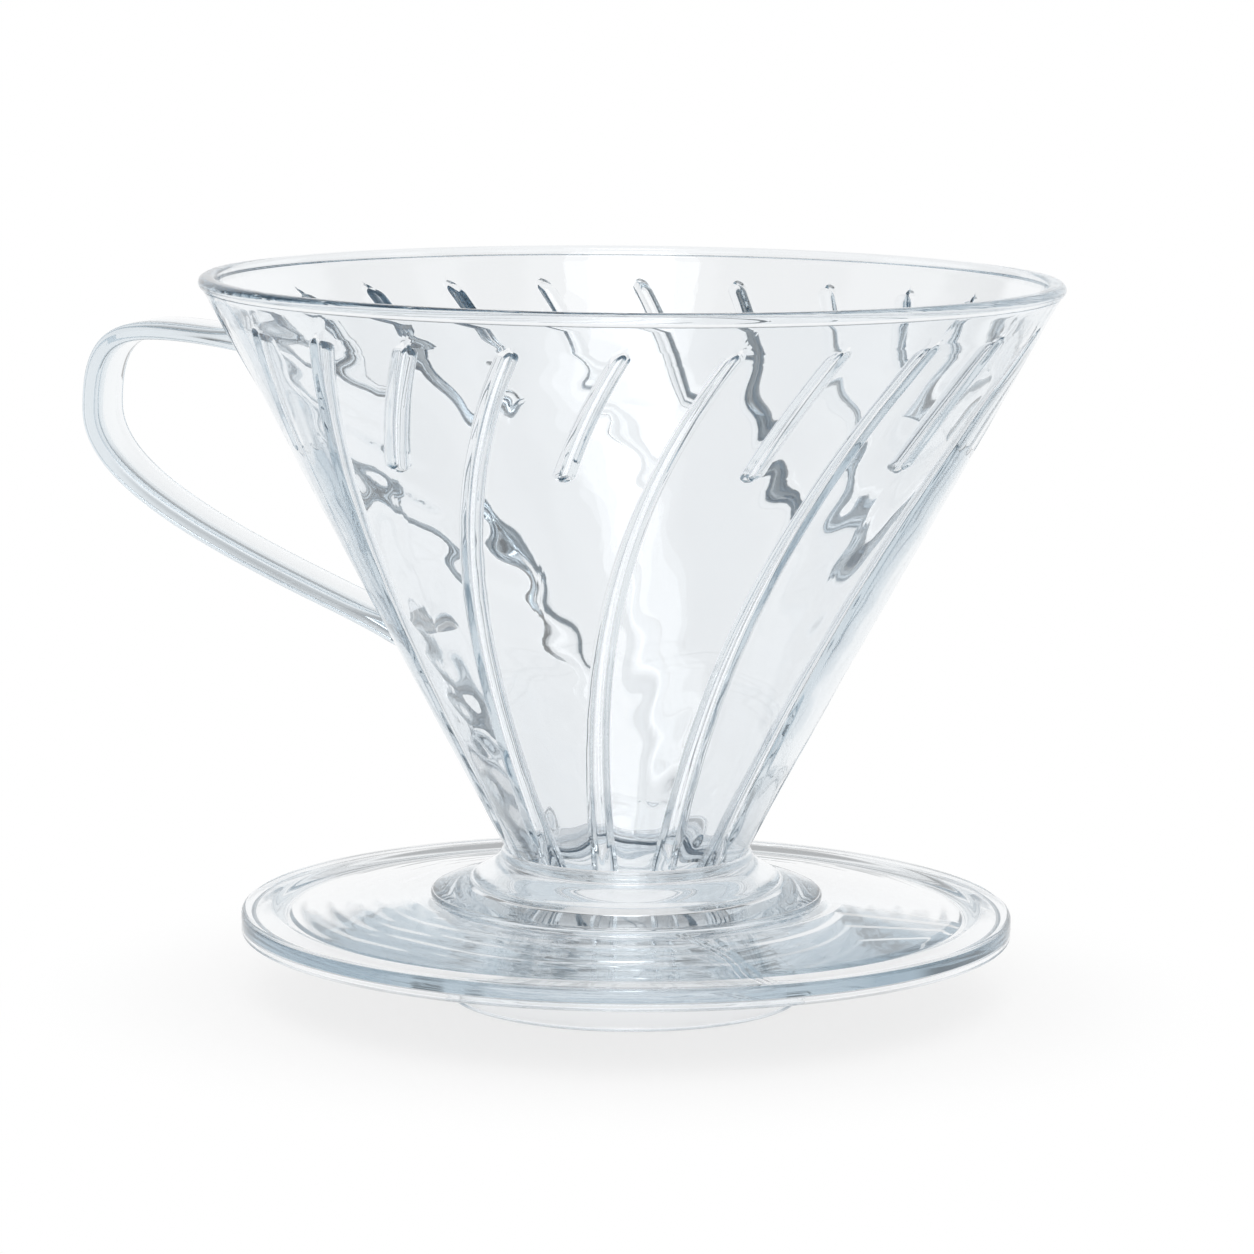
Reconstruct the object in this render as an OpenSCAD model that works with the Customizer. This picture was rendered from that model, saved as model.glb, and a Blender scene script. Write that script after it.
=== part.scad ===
// Clear moulded pour over dripper: a ribbed filter cone with a strap handle, carried by a flared collar
// on a round saucer, with a locating ring underneath that drops into the mouth of a mug or a server.
// Frame: Z is the cone's axis, Z = 0 is the bottom of the locating ring, and the handle points along -X.

/* [Cone] */
// Outer radius of the rim bead
rim_r = 58; // [50:0.5:75]
// Height of the rim above the bottom of the locating ring
rim_z = 98; // [85:0.5:125]
// Height of the rounded rim bead
bead_h = 1.8; // [1.2:0.1:3]
// How far the bead stands proud of the wall under it
bead_proud = 0.6; // [0.2:0.1:1.5]
// Wall of the cone
wall_t = 2; // [1.6:0.1:3]
// Outer radius of the cone where it meets the top of the collar
neck_r = 16.4; // [14:0.2:20]
// Height of the top edge of the collar
neck_z = 20.2; // [18:0.2:26]
// Length of the cone's seat inside the collar, measured along the axis
neck_seat_h = 2.8; // [2:0.1:4]
// Radius of the outlet hole
outlet_r = 11; // [9:0.1:13]
// Height of the straight lip around the outlet hole
outlet_lip_h = 1.6; // [1:0.1:2.4]

/* [Ribs] */
// How many full length ribs there are, with one short rib between each pair
rib_count = 12; // [8:1:14]
// Width of a full length rib at its low end, across its own direction
rib_w = 3.4; // [2.4:0.1:3.6]
// Width of a rib at its top end
rib_top_w = 2.2; // [1.6:0.1:3]
// How far a rib stands into the cone
rib_h = 1.5; // [1:0.1:2.2]
// Depth of the sink groove behind each rib, on the outside of the wall
groove_d = 0.8; // [0.4:0.05:1.1]
// Distance from the rim down to the top of the ribs
rib_top_drop = 5; // [3:0.5:9]
// Length of a short rib, measured along the axis
short_rib_len = 17; // [10:0.5:24]
// Angle that a full length rib turns through between the neck and its top
rib_twist = 25; // [0:1:35]
// How much of the turn is kept for the top of the cone: 1 is even, 2 is mostly near the top
rib_curl = 1.9; // [1:0.1:2.5]

/* [Handle] */
// Reach of the handle's outer face from the cone's axis
handle_reach = 77.4; // [72:0.2:95]
// Width of the strap
handle_w = 10.5; // [8:0.5:16]
// Thickness of the strap
handle_t = 2.6; // [2.2:0.1:4]
// Height of the strap's outermost point
handle_out_z = 77.8; // [70:0.2:82]
// Radius of the strap's rounded edges
handle_edge_r = 0.8; // [0.4:0.1:1.2]
// Height of the strap's middle line where its top end meets the cone
handle_top_z = 88.2; // [80:0.5:92]
// Height of the strap's middle line where its low end meets the cone
handle_low_z = 50; // [40:0.5:60]
// Extra thickness of the strap at its two end pads
pad_extra = 1.2; // [0:0.1:2]
// Length over which the strap thickens into a pad
pad_len = 9; // [5:0.5:14]
// Gap between the handle's end pads and the cone's wall
handle_gap = 0.05; // [0:0.05:0.2]

/* [Collar] */
// Outer radius of the collar's foot
foot_r = 26.6; // [24:0.2:32]
// Height of the upright edge of the collar's foot
foot_h = 0.6; // [0.4:0.1:1.5]
// How hollow the collar's flare is: 1 is a straight cone, 2 is deeply curved
flare_curl = 1.5; // [1:0.1:2]
// Width of the collar's top edge around the cone
collar_lip = 0.6; // [0.4:0.1:1.2]
// Height of the straight part at the foot of the collar's hollow, above the saucer
hollow_foot_h = 0.8; // [0.4:0.1:1.2]
// Gap between the cone's seat and the collar's mouth
neck_gap = 0.05; // [0:0.05:0.2]
// Depth of the spigot that centres the collar in the saucer's hole
collar_spigot_h = 1; // [0.6:0.1:1.2]
// Radial clearance of both spigots in the saucer's hole
spigot_gap = 0.1; // [0.05:0.05:0.3]

/* [Saucer] */
// Outer radius of the saucer
plate_r = 52.3; // [46:0.5:65]
// Height of the saucer's raised rim band above the bottom of the locating ring
plate_z = 12.2; // [9:0.2:18]
// Width of the raised rim band
band_w = 4.4; // [3:0.2:7]
// Width of the slope from the rim band down to the saucer's floor
band_slope_w = 1.6; // [0.8:0.2:3]
// Depth of the saucer's floor below the rim band, next to the band
floor_drop = 0.7; // [0.4:0.1:1.2]
// How much the saucer's floor rises from the rim band to the collar
floor_rise = 2.4; // [0:0.1:3]
// Thickness of the saucer at its rim band
plate_t = 2.2; // [1.8:0.1:3]
// Depth of the skirt, measured from the top of the rim band
skirt_h = 3.1; // [2.8:0.1:5]
// Wall of the skirt
skirt_t = 1.8; // [1.4:0.1:3]
// Radius of the hole in the middle of the saucer
hole_r = 21.6; // [18:0.2:23]
// Angle around the axis at which the bare label field starts
label_start = -52; // [-90:1:0]
// Angle that the bare label field covers
label_span = 60; // [20:1:90]
// Height of the label field above the saucer's floor
label_h = 0.5; // [0.2:0.1:0.6]

/* [Locating ring] */
// Outer radius of the locating ring
ring_r = 24; // [22:0.2:36]
// Wall of the locating ring
ring_t = 2; // [1.5:0.1:3]
// Thickness of the flange that carries the ring under the saucer
ring_flange_h = 1.6; // [1.2:0.1:2.4]
// Depth of the spigot that centres the ring in the saucer's hole
ring_spigot_h = 1; // [0.8:0.1:1.2]
// Depth of the rebate under the saucer that the ring's shoulder is seated in
rebate_h = 0.4; // [0.2:0.1:0.6]
// Width of the step between the ring's outside and its shoulder
shoulder_step = 0.5; // [0.3:0.1:1]
// Wall of both spigots
spigot_t = 1.6; // [1.2:0.1:2]

/* [Hidden] */
$fn = 96;
clear_plastic = [0.86, 0.90, 0.93, 0.55];

// Cone surfaces: the outside is a true cone through the neck and the underside of the bead.
wall_top_z = rim_z - bead_h;
wall_top_r = rim_r - bead_proud;
slope = (wall_top_r - neck_r) / (wall_top_z - neck_z);
wall_run = wall_t * sqrt(1 + slope * slope);
seat_z = neck_z - neck_seat_h;
function outer_r(z) = neck_r + slope * (z - neck_z);
function inner_r(z) = outer_r(z) - wall_run;

// Ribs: each one turns about the axis as it climbs, slowly at the neck and faster near the rim.
lip_z = seat_z + outlet_lip_h;
rib_top_z = rim_z - rib_top_drop;
short_low_z = rib_top_z - short_rib_len;
groove_start = 1.5;
groove_low_z = neck_z + groove_start;
rib_pitch = 180 / rib_count;
rib_ramp = rib_w / 2;
climb_steps = 5;
function rib_turn(z) = rib_twist * (pow(max(0, z - lip_z) / (rib_top_z - lip_z), rib_curl) - 1);
function lean(z) = (rib_turn(z + 0.5) - rib_turn(z - 0.5)) * PI / 180 * outer_r(z);
function rib_width(z) = rib_top_w + (rib_w - rib_top_w) * (rib_top_z - z) / (rib_top_z - lip_z);
// Widest that a rib may be, as half its angle, so that it stays apart from the ribs beside it.
widest_half = rib_pitch * 0.46;
function rib_half_angle(r, z) =
    min(widest_half, rib_width(z) * sqrt(1 + pow(lean(z), 2)) / 2 / r * 180 / PI);
// How much of a rib's height is there at a height z, from 0 past its ends to 1 along its length.
function presence(z, low) = max(0, min(1, (z - low) / rib_ramp, (rib_top_z - z) / rib_ramp));
// Columns of the wall across one rib: [share of its half width, share of its height].
rib_crown = 0.44;
rib_columns = [[-1, 0], [-rib_crown, 1], [rib_crown, 1], [1, 0]];
// Heights of the wall's rows from the bottom end of the full length ribs to the wall's top.
function climb_heights(low) = [
    low,
    low + rib_ramp,
    for (i = [1 : climb_steps]) low + rib_ramp + (short_low_z - low - rib_ramp) * i / climb_steps,
    short_low_z + rib_ramp,
    rib_top_z - rib_ramp,
    rib_top_z
];

// Saucer levels
floor_edge_z = plate_z - floor_drop;
floor_r = plate_r - band_w - band_slope_w;
foot_z = floor_edge_z + floor_rise;
under_z = plate_z - plate_t;
skirt_z = plate_z - skirt_h;
edge_r = 0.6;
spigot_r = hole_r - spigot_gap;
spigot_in_r = spigot_r - spigot_t;
rebate_gap = 0.05;
rebate_r = ring_r + rebate_gap;
function floor_z(r) = floor_edge_z + floor_rise * (floor_r - r) / (floor_r - foot_r);
label_in_r = foot_r + 1.4;
label_out_r = floor_r - 0.8;

// Collar: the flare falls from the lip at the neck to the top of the foot's upright edge.
flare_steps = 16;
flare_top_r = neck_r + collar_lip;
flare_low_z = foot_z + foot_h;
function flare_z(r) =
    flare_low_z + (neck_z - flare_low_z) * pow((foot_r - r) / (foot_r - flare_top_r), flare_curl);
// Inside the collar: the hollow falls from the low end of the cone's seat to the bore of the spigot.
mouth_r = outer_r(seat_z) + neck_gap;
hollow_r = spigot_in_r;
hollow_z = foot_z + hollow_foot_h;
hollow_curl = 1.2;
function hollow_curve_z(r) =
    hollow_z + (seat_z - hollow_z) * pow((hollow_r - r) / (hollow_r - mouth_r), hollow_curl);

// Handle: the strap's middle line is two cubic curves that are upright at its outermost point.
// The points are [distance from the axis, height]. Both ends run into the cone's wall, which trims them.
strap_r = handle_reach - handle_t / 2;
strap_steps = 14;
strap_bury = 2;
top_dip = 0.6;
top_corner = [strap_r - 7.6, handle_top_z + 0.8];
top_upright = 14;
low_upright = 10;
low_elbow = [strap_r - 17, handle_out_z - 18];
low_dip = 1.6;
top_curve = [
    [outer_r(handle_top_z) - strap_bury, handle_top_z - top_dip],
    top_corner,
    [strap_r, handle_out_z + top_upright],
    [strap_r, handle_out_z]
];
low_curve = [
    [strap_r, handle_out_z],
    [strap_r, handle_out_z - low_upright],
    low_elbow,
    [outer_r(handle_low_z) - strap_bury, handle_low_z - low_dip]
];
function cubic(p, t) =
    pow(1 - t, 3) * p[0] + 3 * pow(1 - t, 2) * t * p[1] + 3 * (1 - t) * t * t * p[2] + pow(t, 3) * p[3];
strap_line = concat(
    [for (i = [0 : strap_steps]) cubic(top_curve, i / strap_steps)],
    [for (i = [1 : strap_steps]) cubic(low_curve, i / strap_steps)]
);

// Skin over rows of points that run round the axis, with the last row joined back to the first.
module closed_skin(rows) {
    count = len(rows[0]);
    total = len(rows) * count;
    faces = [
        for (i = [0 : len(rows) - 1])
            for (j = [0 : count - 1])
                let (
                    a = i * count + j,
                    b = i * count + (j + 1) % count,
                    c = (a + count) % total,
                    d = (b + count) % total
                )
                    each [[a, d, b], [a, c, d]]
    ];
    polyhedron([for (row = rows) each row], faces);
}

// Closed skin over rings of points that all have the same count, listed from the first ring to the last.
module skin(rings) {
    count = len(rings[0]);
    last = len(rings) - 1;
    sides = [
        for (i = [0 : last - 1])
            for (j = [0 : count - 1])
                let (a = i * count + j, b = i * count + (j + 1) % count)
                    each [[a, b, b + count], [a, b + count, a + count]]
    ];
    first_cap = [for (j = [1 : count - 2]) [0, j + 1, j]];
    last_cap = [for (j = [1 : count - 2]) [last * count, last * count + j, last * count + j + 1]];
    polyhedron([for (ring = rings) each ring], concat(sides, first_cap, last_cap));
}

// One row of the cone's wall, all the way round. low is where the full length ribs of this side start.
function wall_row(r, z, depth, low) = [
    for (i = [0 : rib_count * 2 - 1])
        let (
            rib_low = i % 2 == 0 ? low : short_low_z,
            height = depth * presence(z, rib_low),
            half_angle = rib_half_angle(r, z),
            middle = i * rib_pitch + rib_turn(z)
        )
            each [
                for (p = rib_columns)
                    let (a = middle + p[0] * half_angle, reach = r - p[1] * height)
                        [reach * cos(a), reach * sin(a), z],
                let (a = middle + rib_pitch / 2) [r * cos(a), r * sin(a), z]
            ]
];

// The cone's wall as one skin: up the outside, over the bead, down the ribbed inside and round the lip.
module cone() {
    bead_r = bead_h / 2;
    bead_z = rim_z - bead_r;
    bead_out = rim_r - bead_r;
    bead_in = inner_r(bead_z) + bead_r;
    outside = climb_heights(groove_low_z);
    inside = climb_heights(lip_z);
    last = len(inside) - 1;
    rows = [
        wall_row(outer_r(seat_z), seat_z, 0, 0),
        wall_row(outer_r(neck_z), neck_z, 0, 0),
        for (z = outside) wall_row(outer_r(z), z, groove_d, groove_low_z),
        for (a = [-60 : 50 : 90]) wall_row(bead_out + bead_r * cos(a), bead_z + bead_r * sin(a), 0, 0),
        for (a = [90 : 45 : 180]) wall_row(bead_in + bead_r * cos(a), bead_z + bead_r * sin(a), 0, 0),
        for (i = [0 : last]) wall_row(inner_r(inside[last - i]), inside[last - i], rib_h, lip_z),
        wall_row(outlet_r, lip_z, 0, 0),
        wall_row(outlet_r, seat_z, 0, 0)
    ];
    color(clear_plastic) closed_skin(rows);
}

// Rounded rectangle across the strap, as [sideways, outward] points.
function strap_section(w, t) = [
    for (corner = [[1, 1, 0], [-1, 1, 90], [-1, -1, 180], [1, -1, 270]])
        for (a = [0, 45, 90])
            [
                corner[0] * (w / 2 - handle_edge_r) + handle_edge_r * cos(corner[2] + a),
                corner[1] * (t / 2 - handle_edge_r) + handle_edge_r * sin(corner[2] + a)
            ]
];

// The whole cone as a solid, to trim the handle's pads to its wall.
module cone_envelope(gap) {
    low = handle_low_z - 20;
    translate([0, 0, low])
        cylinder(h = rim_z - low, r1 = outer_r(low) + gap, r2 = outer_r(rim_z) + gap);
}

module handle() {
    last = len(strap_line) - 1;
    color(clear_plastic)
        difference() {
            skin([
                for (i = [0 : last])
                    let (
                        ahead = strap_line[min(i + 1, last)],
                        behind = strap_line[max(i - 1, 0)],
                        along = (ahead - behind) / norm(ahead - behind),
                        from_top = norm(strap_line[i] - strap_line[0]),
                        from_low = norm(strap_line[i] - strap_line[last]),
                        nearness = max(0, 1 - min(from_top, from_low) / (pad_len + strap_bury)),
                        swell = pad_extra * pow(nearness, 2)
                    )
                        [
                            for (p = strap_section(handle_w, handle_t + swell))
                                let (
                                    r = strap_line[i][0] - p[1] * along[1],
                                    z = strap_line[i][1] + p[1] * along[0]
                                )
                                    [-r, p[0], z]
                        ]
            ]);
            cone_envelope(handle_gap);
        }
}

module collar() {
    color(clear_plastic)
        rotate_extrude()
            polygon([
                [spigot_in_r, foot_z - collar_spigot_h],
                [spigot_r, foot_z - collar_spigot_h],
                [spigot_r, foot_z],
                [foot_r, foot_z],
                [foot_r, flare_low_z],
                for (i = [1 : flare_steps])
                    let (r = foot_r + (flare_top_r - foot_r) * i / flare_steps)
                        [r, flare_z(r)],
                [outer_r(neck_z) + neck_gap, neck_z],
                [mouth_r, seat_z],
                for (i = [1 : flare_steps])
                    let (r = mouth_r + (hollow_r - mouth_r) * i / flare_steps)
                        [r, hollow_curve_z(r)]
            ]);
}

// Half section of the saucer: skirt, rim band, floor, and the land under the collar's foot.
module saucer_section() {
    skirt_in_r = plate_r - skirt_t;
    band_in_r = plate_r - band_w;
    polygon([
        [hole_r, under_z + rebate_h],
        [rebate_r, under_z + rebate_h],
        [rebate_r, under_z],
        [skirt_in_r, under_z],
        [skirt_in_r, skirt_z],
        [plate_r, skirt_z],
        [plate_r, plate_z - edge_r],
        [plate_r - edge_r, plate_z],
        [band_in_r, plate_z],
        [floor_r, floor_edge_z],
        [foot_r, foot_z],
        [hole_r, foot_z]
    ]);
    translate([plate_r - edge_r, plate_z - edge_r]) circle(edge_r);
}

// Bare raised field on the saucer's floor, following its slope.
module label_field() {
    sink = 0.4; // the field starts this far inside the floor
    rotate([0, 0, label_start])
        rotate_extrude(angle = label_span)
            polygon([
                [label_in_r, floor_z(label_in_r) - sink],
                [label_out_r, floor_z(label_out_r) - sink],
                [label_out_r, floor_z(label_out_r) + label_h],
                [label_in_r, floor_z(label_in_r) + label_h]
            ]);
}

module base_plate() {
    color(clear_plastic) {
        rotate_extrude() saucer_section();
        label_field();
    }
}

// Locating ring: its outside is straight down to the bottom edge, and its shoulder is seated in the rebate.
module locating_ring() {
    ring_in_r = ring_r - ring_t;
    shoulder_r = ring_r - shoulder_step;
    color(clear_plastic)
        rotate_extrude() {
            polygon([
                [ring_in_r + edge_r, 0],
                [ring_r, 0],
                [ring_r, under_z],
                [shoulder_r, under_z],
                [shoulder_r, under_z + rebate_h],
                [spigot_r, under_z + rebate_h],
                [spigot_r, under_z + ring_spigot_h],
                [spigot_in_r, under_z + ring_spigot_h],
                [spigot_in_r, under_z - ring_flange_h],
                [ring_in_r, under_z - ring_flange_h],
                [ring_in_r, edge_r]
            ]);
            translate([ring_in_r + edge_r, edge_r]) circle(edge_r);
        }
}

cone();
handle();
collar();
base_plate();
locating_ring();
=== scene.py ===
import math

import bpy
import numpy as np
from bpy.props import FloatProperty, FloatVectorProperty, IntProperty, PointerProperty
from bpy.types import Operator, Panel, PropertyGroup
from mathutils import Matrix, Vector


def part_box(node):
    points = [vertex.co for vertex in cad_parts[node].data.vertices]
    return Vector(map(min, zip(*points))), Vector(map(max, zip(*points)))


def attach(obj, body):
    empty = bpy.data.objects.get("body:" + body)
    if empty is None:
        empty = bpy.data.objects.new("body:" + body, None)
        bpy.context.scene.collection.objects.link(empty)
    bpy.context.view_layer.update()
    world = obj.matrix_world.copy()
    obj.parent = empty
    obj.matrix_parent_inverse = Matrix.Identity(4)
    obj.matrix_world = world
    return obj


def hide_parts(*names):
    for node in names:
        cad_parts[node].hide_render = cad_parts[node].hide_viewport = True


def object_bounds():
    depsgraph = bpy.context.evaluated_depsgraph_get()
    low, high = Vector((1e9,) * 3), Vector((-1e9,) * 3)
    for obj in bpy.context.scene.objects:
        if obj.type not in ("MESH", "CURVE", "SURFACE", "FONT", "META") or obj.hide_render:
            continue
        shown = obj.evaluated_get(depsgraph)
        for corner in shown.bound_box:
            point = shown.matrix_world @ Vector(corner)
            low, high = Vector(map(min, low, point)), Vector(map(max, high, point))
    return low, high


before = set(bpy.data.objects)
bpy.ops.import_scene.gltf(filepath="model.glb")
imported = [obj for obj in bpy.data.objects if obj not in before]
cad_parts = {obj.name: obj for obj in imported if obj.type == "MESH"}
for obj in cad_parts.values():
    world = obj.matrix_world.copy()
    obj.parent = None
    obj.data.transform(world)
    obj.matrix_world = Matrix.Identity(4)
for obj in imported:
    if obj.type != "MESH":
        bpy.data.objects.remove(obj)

bl_info = {
    "name": "Pour Over Dripper",
    "version": (1, 0, 0),
    "blender": (4, 5, 0),
    "location": "3D View > Sidebar > Dripper",
    "description": "Makes a clear moulded pour over dripper and the stage that it stands on",
    "category": "Add Mesh",
}

MM = 0.001
TURN = 2 * math.pi
WELD_GAP = 0.00005  # clearance where one moulding is bonded into another
SPIGOT_GAP = 0.0001  # clearance between a spigot and the hole in the saucer
SPIGOT_WALL = 0.0016
SPIGOT_LENGTH = 0.001
SHARP_EDGE = math.radians(50)  # faces that meet at more than this keep a hard edge
ROUND_COLUMNS = 256  # points round the collar and the ring
LIGHT_BOUNCES = 80  # light runs a long way inside the saucer before it leaves
CAD_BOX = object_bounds()
CONE_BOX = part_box("cone")
SAUCER_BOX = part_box("base_plate")
RING_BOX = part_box("locating_ring")
HANDLE_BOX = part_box("handle")
COLLAR_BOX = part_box("collar")


# Settings


class DripperConeSettings(PropertyGroup):
    """Sizes of the filter cone and its ribs."""

    rim_radius: FloatProperty(
        name="Rim radius", description="Outer radius of the rim bead",
        default=CONE_BOX[1].y, unit="LENGTH")
    rim_height: FloatProperty(
        name="Rim height", description="Height of the rim above the bottom of the locating ring",
        default=CONE_BOX[1].z, unit="LENGTH")
    seat_height: FloatProperty(
        name="Seat height", description="Height of the cone's lowest edge, inside the collar",
        default=CONE_BOX[0].z, unit="LENGTH")
    neck_radius: FloatProperty(
        name="Neck radius", description="Outer radius of the cone at the top edge of the collar",
        default=0.0164, unit="LENGTH")
    neck_height: FloatProperty(
        name="Neck height", description="Height of the top edge of the collar",
        default=0.0202, unit="LENGTH")
    outlet_radius: FloatProperty(
        name="Outlet radius", description="Radius of the hole in the cone's tip",
        default=0.011, unit="LENGTH")
    lip_height: FloatProperty(
        name="Outlet lip", description="Height of the straight lip round the outlet",
        default=0.0016, unit="LENGTH")
    wall: FloatProperty(
        name="Wall", description="Thickness of the cone's wall", default=0.002, unit="LENGTH")
    bead_height: FloatProperty(
        name="Bead height", description="Height of the rounded rim bead", default=0.0018, unit="LENGTH")
    bead_proud: FloatProperty(
        name="Bead stand", description="How far the bead stands out from the wall",
        default=0.0006, unit="LENGTH")
    rib_count: IntProperty(
        name="Full length ribs",
        description="Ribs from the outlet to the rim, with a short one between each two",
        default=12, min=4)
    rib_width: FloatProperty(
        name="Rib width", description="Width of a rib at its low end", default=0.0034, unit="LENGTH")
    rib_top_width: FloatProperty(
        name="Rib top width", description="Width of a rib at its top end", default=0.0022, unit="LENGTH")
    rib_rise: FloatProperty(
        name="Rib height", description="How far a rib stands into the cone", default=0.0014, unit="LENGTH")
    groove_depth: FloatProperty(
        name="Sink groove", description="Depth of the groove behind each rib, outside",
        default=0.0007, unit="LENGTH")
    scallop_depth: FloatProperty(
        name="Scallop", description="How far the outer wall sinks from between two full ribs to the rib",
        default=0.0004, unit="LENGTH")
    rib_top_drop: FloatProperty(
        name="Rib start", description="Distance from the rim down to the top of the ribs",
        default=0.005, unit="LENGTH")
    short_rib: FloatProperty(
        name="Short rib", description="Length of a short rib, measured along the axis",
        default=0.017, unit="LENGTH")
    rib_twist: FloatProperty(
        name="Rib twist", description="Angle that a full length rib turns through",
        default=math.radians(25), subtype="ANGLE")
    rib_curl: FloatProperty(
        name="Rib curl", description="How much of the turn lies near the top", default=1.9)
    wander: FloatProperty(
        name="Wall waviness", description="How far the moulded wall strays from a true cone",
        default=0.00003, unit="LENGTH", precision=6)


class DripperHandleSettings(PropertyGroup):
    """Sizes of the strap handle."""

    reach: FloatProperty(
        name="Reach", description="Distance of the handle's outer face from the cone's axis",
        default=-HANDLE_BOX[0].x, unit="LENGTH")
    width: FloatProperty(
        name="Width", description="Width of the strap", default=0.0105, unit="LENGTH")
    thickness: FloatProperty(
        name="Thickness", description="Thickness of the strap", default=0.0026, unit="LENGTH")
    edge_radius: FloatProperty(
        name="Edge radius", description="Radius of the strap's rounded edges",
        default=0.0009, unit="LENGTH")
    top_height: FloatProperty(
        name="Top joint", description="Height at which the strap's top end meets the cone",
        default=0.0882, unit="LENGTH")
    low_height: FloatProperty(
        name="Low joint", description="Height at which the strap's low end meets the cone",
        default=0.050, unit="LENGTH")
    outer_height: FloatProperty(
        name="Outermost height", description="Height of the strap's outermost point",
        default=0.0778, unit="LENGTH")
    pad_extra: FloatProperty(
        name="Pad", description="Extra thickness where the strap meets the cone",
        default=0.0012, unit="LENGTH")
    pad_length: FloatProperty(
        name="Pad length", description="Length over which the strap thickens", default=0.009, unit="LENGTH")
    gap: FloatProperty(
        name="Joint gap", description="Width of the joint line between strap and cone",
        default=0.00005, unit="LENGTH", precision=6)


class DripperSaucerSettings(PropertyGroup):
    """Sizes of the saucer, the collar on it and the ring under it."""

    saucer_radius: FloatProperty(
        name="Saucer radius", description="Outer radius of the saucer",
        default=SAUCER_BOX[1].y, unit="LENGTH")
    band_height: FloatProperty(
        name="Rim band height", description="Height of the saucer's raised rim band",
        default=0.0122, unit="LENGTH")
    band_width: FloatProperty(
        name="Rim band width", description="Width of the raised rim band", default=0.0044, unit="LENGTH")
    skirt_height: FloatProperty(
        name="Skirt low edge", description="Height of the low edge of the skirt",
        default=SAUCER_BOX[0].z, unit="LENGTH")
    skirt_wall: FloatProperty(
        name="Skirt wall", description="Thickness of the skirt", default=0.0018, unit="LENGTH")
    under_height: FloatProperty(
        name="Underside", description="Height of the saucer's flat underside", default=0.010, unit="LENGTH")
    floor_drop: FloatProperty(
        name="Floor drop", description="Depth of the floor below the rim band",
        default=0.0007, unit="LENGTH")
    floor_rise: FloatProperty(
        name="Floor rise", description="How much the floor rises towards the collar",
        default=0.0024, unit="LENGTH")
    hole_radius: FloatProperty(
        name="Hole radius", description="Radius of the hole in the middle", default=0.0216, unit="LENGTH")
    rebate_depth: FloatProperty(
        name="Rebate", description="Depth of the rebate that the ring is seated in",
        default=0.0004, unit="LENGTH")
    label_start: FloatProperty(
        name="Label start", description="Angle at which the bare label field starts",
        default=math.radians(-52), subtype="ANGLE")
    label_span: FloatProperty(
        name="Label span", description="Angle that the bare label field covers",
        default=math.radians(60), subtype="ANGLE")
    label_height: FloatProperty(
        name="Label height", description="Height of the label field above the floor",
        default=0.0002, unit="LENGTH")
    ripple: FloatProperty(
        name="Floor ripple", description="Height of the moulding ripples on the saucer's floor",
        default=0.000022, unit="LENGTH", precision=6)
    foot_radius: FloatProperty(
        name="Collar foot", description="Outer radius of the collar's foot",
        default=COLLAR_BOX[1].y, unit="LENGTH")
    ring_radius: FloatProperty(
        name="Ring radius", description="Outer radius of the locating ring",
        default=RING_BOX[1].y, unit="LENGTH")
    ring_wall: FloatProperty(
        name="Ring wall", description="Wall of the locating ring", default=0.002, unit="LENGTH")


class DripperPlasticSettings(PropertyGroup):
    """Look of the clear moulded plastic."""

    colour: FloatVectorProperty(
        name="Colour", description="Colour of light that passes through the surface",
        subtype="COLOR", size=3, min=0, max=1, default=(0.985, 0.992, 1.0))
    depth_colour: FloatVectorProperty(
        name="Colour in depth", description="Colour that long paths through the plastic take on",
        subtype="COLOR", size=3, min=0, max=1, default=(0.66, 0.74, 0.79))
    depth_density: FloatProperty(
        name="Density", description="How fast the colour builds up along a path, for each metre",
        default=70, min=0)
    base_share: FloatProperty(
        name="Base share", description="Share of that density in the thick saucer, collar and ring",
        default=0.45, min=0)
    roughness: FloatProperty(
        name="Polish", description="Roughness of the polished surface", default=0.015, min=0, max=1)
    refraction: FloatProperty(
        name="Refraction", description="Index of refraction of the clear resin", default=1.55, min=1, max=2)
    flow_relief: FloatProperty(
        name="Flow relief", description="Height of the moulding waves in the surface",
        default=0.00003, unit="LENGTH", precision=6)


class DripperStageSettings(PropertyGroup):
    """Camera, floor and light."""

    camera_place: FloatVectorProperty(
        name="Camera place", description="Where the camera stands", subtype="XYZ", unit="LENGTH",
        size=3, default=(0.1889, -0.6588, 0.1524))
    camera_heading: FloatProperty(
        name="Camera heading", description="Turn of the camera to the left of +Y",
        default=math.radians(16.021), subtype="ANGLE")
    camera_pitch: FloatProperty(
        name="Camera pitch", description="Tilt of the camera below the horizon",
        default=math.radians(8.451), subtype="ANGLE")
    camera_roll: FloatProperty(
        name="Camera roll", description="Roll of the camera about its own axis",
        default=math.radians(0.554), subtype="ANGLE")
    camera_lens: FloatProperty(
        name="Lens", description="Focal length on a 36 mm sensor", default=147.15, min=1)
    floor_colour: FloatVectorProperty(
        name="Floor", description="Colour of the floor", subtype="COLOR", size=3, min=0, max=1,
        default=(0.9, 0.9, 0.9))
    shadow_lift: FloatProperty(
        name="Shadow lift", description="How much of the object's shadow on the floor is lit up",
        default=0.76, min=0, max=1)
    flag_shade: FloatProperty(
        name="Dark cards", description="Brightness of the cards round the set that draw the edges",
        default=0.36, min=0, max=1)
    roof_shade: FloatProperty(
        name="Roof", description="Brightness of the room above the white surround",
        default=0.5, min=0, max=1)


# Making meshes


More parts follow.
